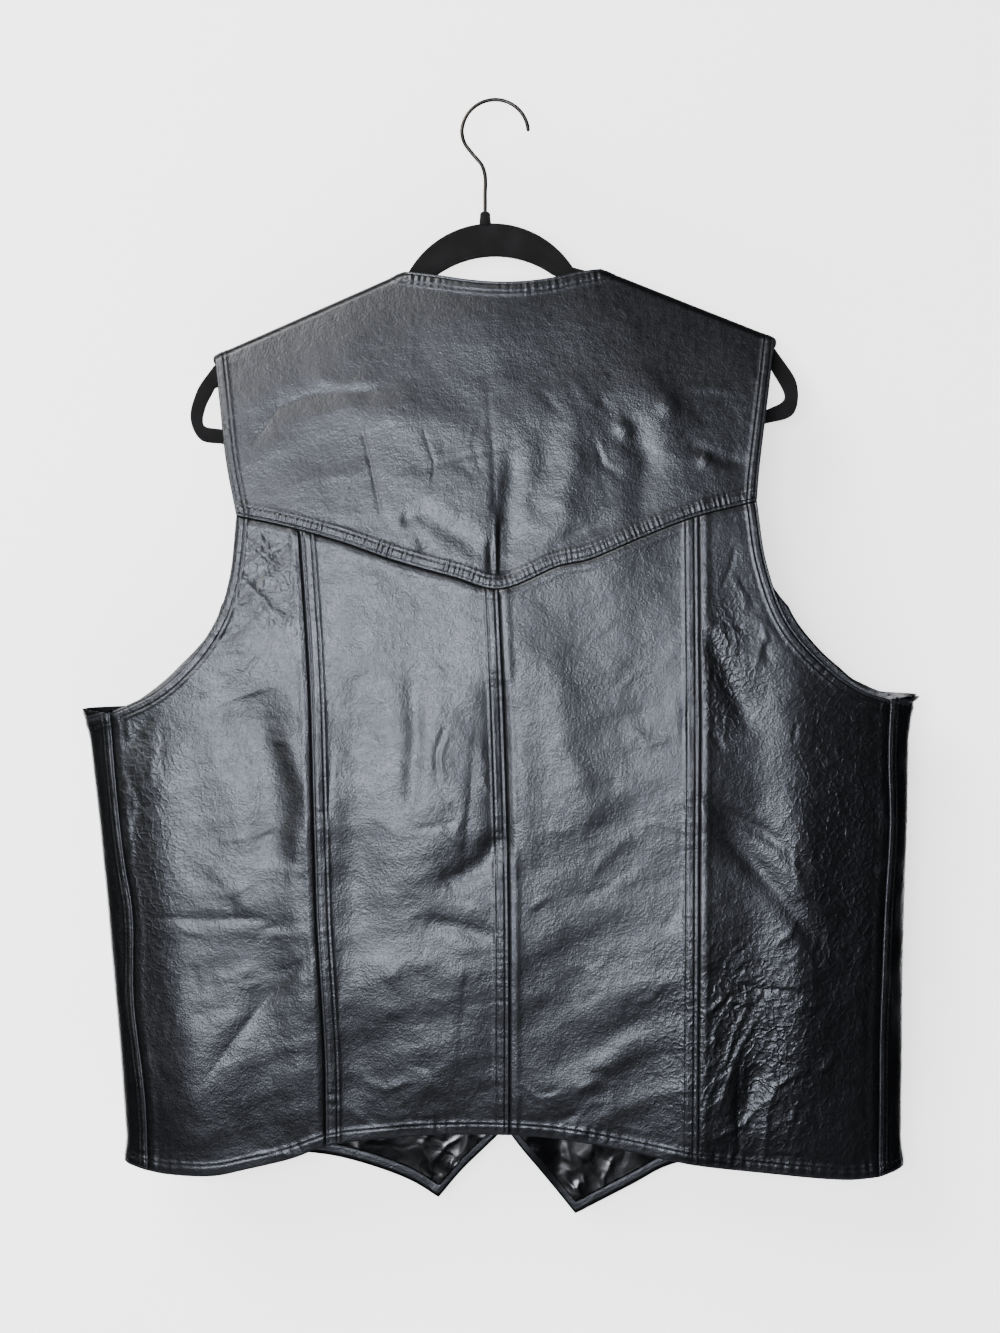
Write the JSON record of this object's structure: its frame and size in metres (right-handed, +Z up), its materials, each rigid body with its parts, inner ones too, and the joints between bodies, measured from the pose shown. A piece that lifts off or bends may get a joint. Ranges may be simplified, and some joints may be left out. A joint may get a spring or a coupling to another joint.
{
  "type": "leather vest on a hanger",
  "caption": "Western-cut leather vest, snapped shut, with a V-shaped back yoke and pointed front hems, hanging on a slim flocked hanger with a wire hook.",
  "frame": {"origin": "underside of the hook's crown, where the vest hangs on a rail", "axes": "+Z up, -Y out of the vest's back, +X towards the wearer's right"},
  "size_m": [0.6134, 0.0593, 0.8195],
  "materials": {
    "leather": "semi-gloss pigmented black, fine grain",
    "satin": "crinkled black satin",
    "flock": "short black flocking",
    "hook_metal": "dark polished wire",
    "snap_metal": "black enamelled cap"
  },
  "bodies": {
    "root": {"yoke": "leather", "back_centre_left": "leather", "back_centre_right": "leather", "back_side_left": "leather", "back_side_right": "leather", "front_left": "leather", "front_right": "leather", "lining_front_left": "satin", "lining_front_right": "satin", "snap_1": "snap_metal", "snap_2": "snap_metal", "snap_3": "snap_metal", "snap_4": "snap_metal", "hanger": "flock", "hanger_collar": "flock", "hanger_hook": "hook_metal"}
  },
  "joints": []
}
